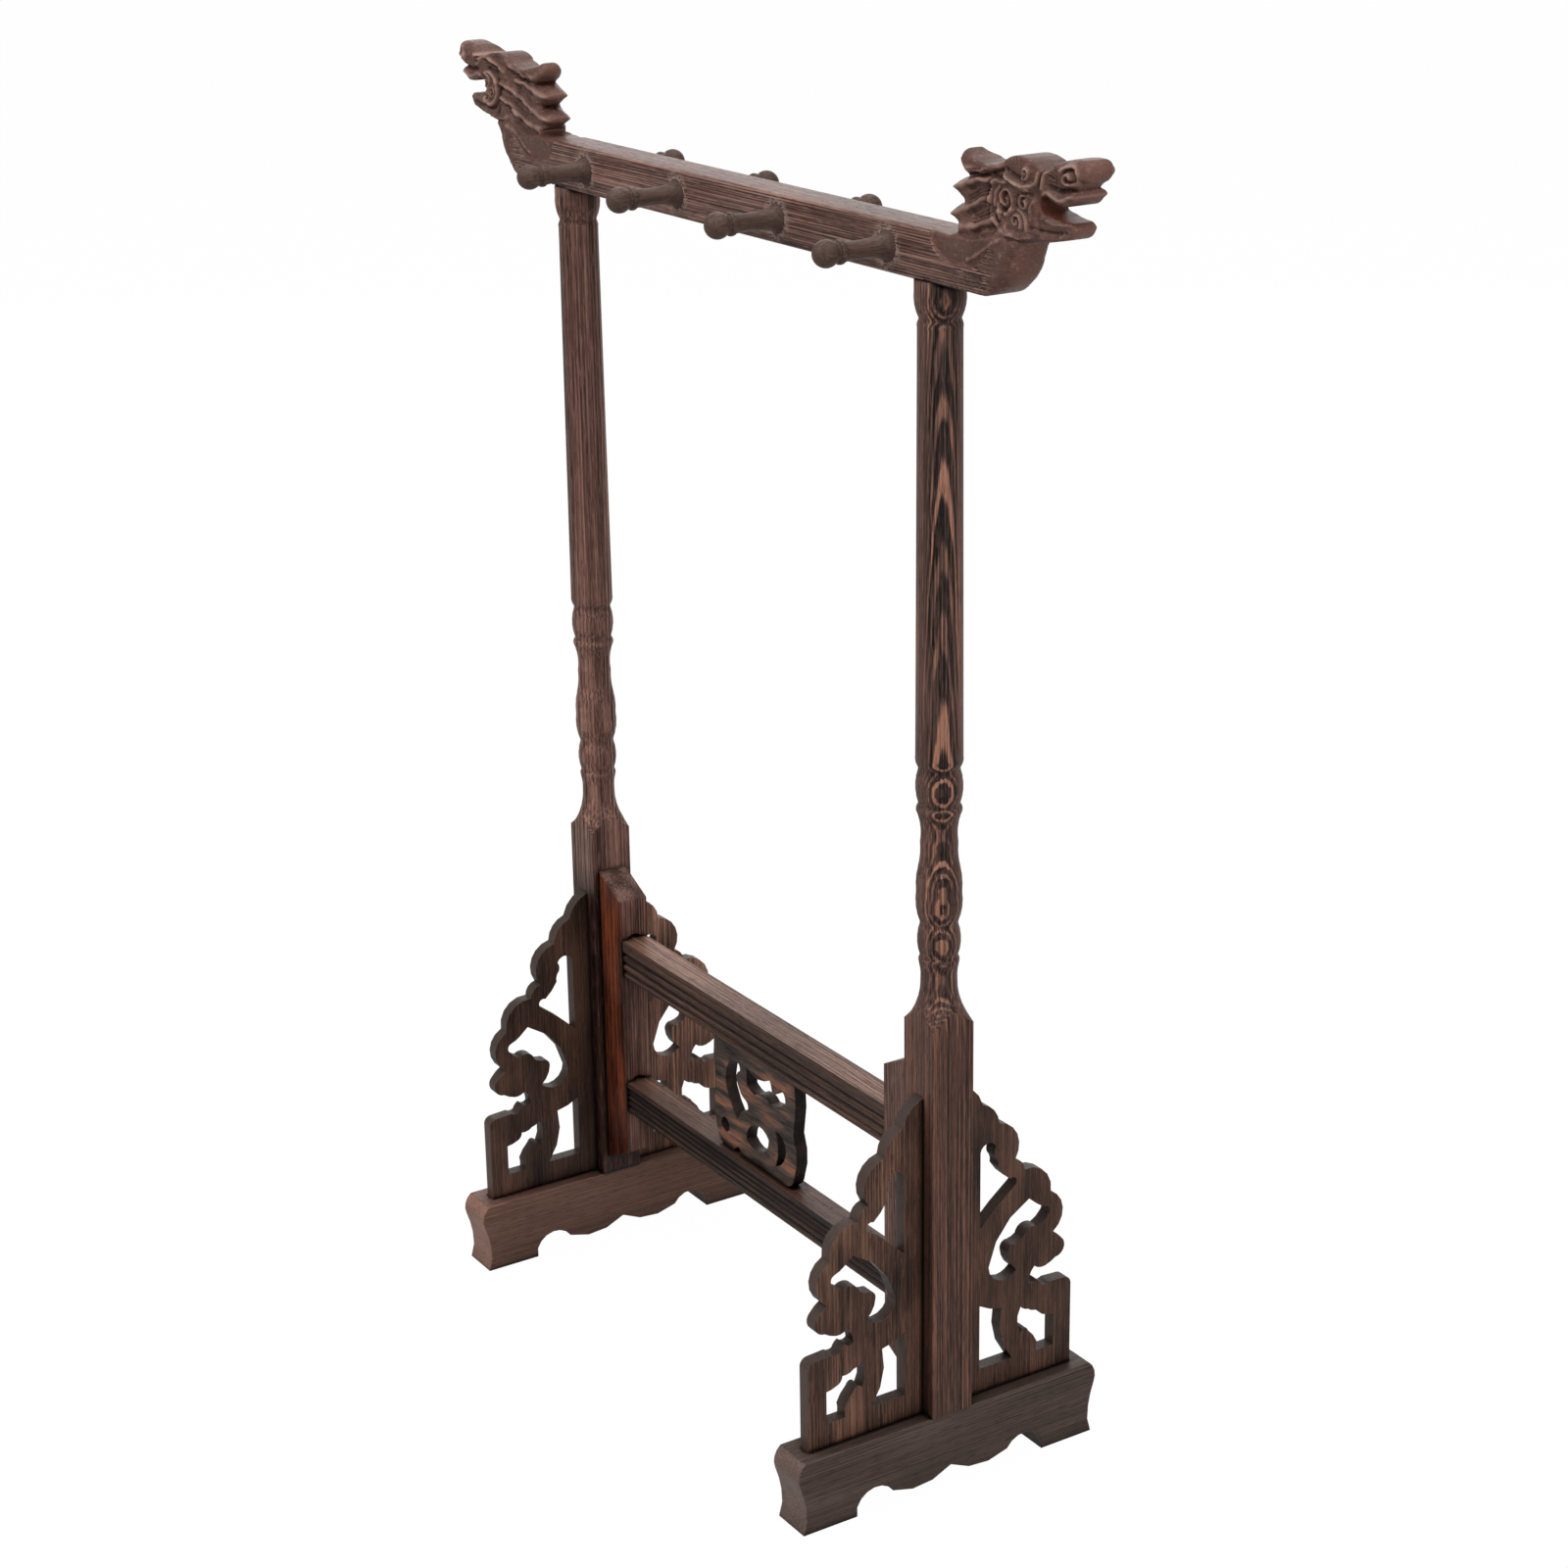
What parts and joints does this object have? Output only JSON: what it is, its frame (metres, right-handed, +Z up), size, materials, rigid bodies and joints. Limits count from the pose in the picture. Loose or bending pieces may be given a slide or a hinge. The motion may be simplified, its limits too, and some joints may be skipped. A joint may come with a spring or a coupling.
{
  "type": "chinese brush rack",
  "caption": "Dark hardwood brush rack: a beam with dragon-head ends and turned pegs, carried by turned posts with pierced spandrels, scrolled feet, moulded rails and a fret panel.",
  "frame": {"origin": "on the table, in the middle of the bounding box", "axes": "+Z up, X along the beam, -Y towards the front"},
  "size_m": [0.3382, 0.111, 0.4098],
  "materials": {
    "beam_wood": "satin",
    "post_wood": "satin",
    "dark_wood": "satin",
    "red_wood": "satin",
    "peg_wood": "satin"
  },
  "bodies": {
    "root": {"left_foot": "post_wood", "right_foot": "dark_wood", "left_post": "beam_wood", "right_post": "post_wood", "left_front_spandrel": "dark_wood", "left_back_spandrel": "dark_wood", "right_front_spandrel": "post_wood", "right_back_spandrel": "dark_wood", "left_stile": "red_wood", "right_stile": "beam_wood", "upper_rail": "beam_wood", "lower_rail": "beam_wood", "fret_panel": "dark_wood", "top_beam": "beam_wood", "front_peg_1": "peg_wood", "front_peg_2": "peg_wood", "front_peg_3": "peg_wood", "front_peg_4": "peg_wood", "back_peg_1": "peg_wood", "back_peg_2": "peg_wood", "back_peg_3": "peg_wood", "back_peg_4": "peg_wood"}
  },
  "joints": []
}
